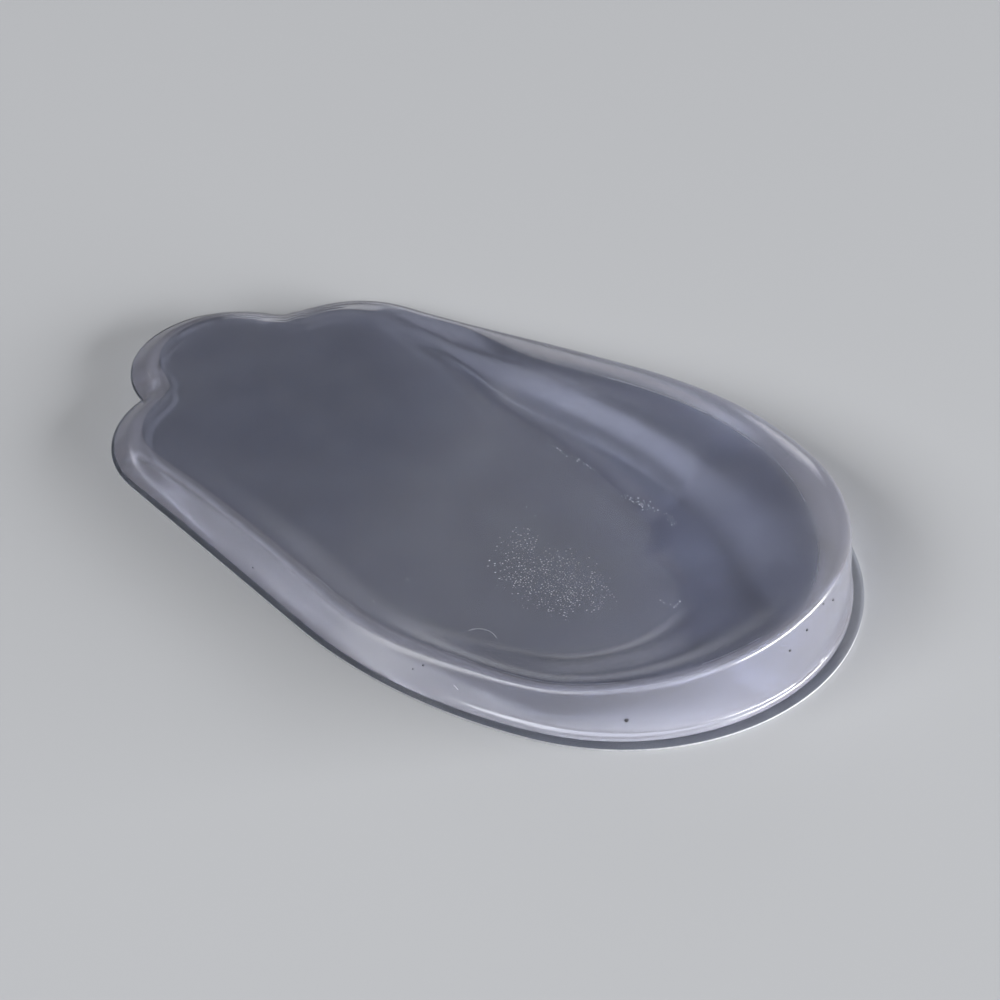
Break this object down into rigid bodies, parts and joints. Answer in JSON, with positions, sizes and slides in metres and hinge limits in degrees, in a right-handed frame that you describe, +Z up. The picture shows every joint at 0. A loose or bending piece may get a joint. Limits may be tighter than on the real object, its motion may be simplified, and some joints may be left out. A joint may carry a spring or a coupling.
{
  "type": "silicone orthopedic insole",
  "caption": "Clear gel heel insole with a lobed thin front, bevelled edge, shallow heel dish and a wedge-shaped rim that is higher on one side, on a thin clear base film.",
  "frame": {"origin": "centre of the bounding box at the underside of the base film", "axes": "+Y from heel to toe, +X to the side with the higher rim, +Z up"},
  "size_m": [0.062, 0.1056, 0.0101],
  "materials": {
    "gel": "clear glossy gel with a cool tint, fine mould grain in the heel dish",
    "film": "clear glossy film with a cut edge"
  },
  "bodies": {
    "root": {"gel_pad": "gel", "base_film": "film"}
  },
  "joints": []
}
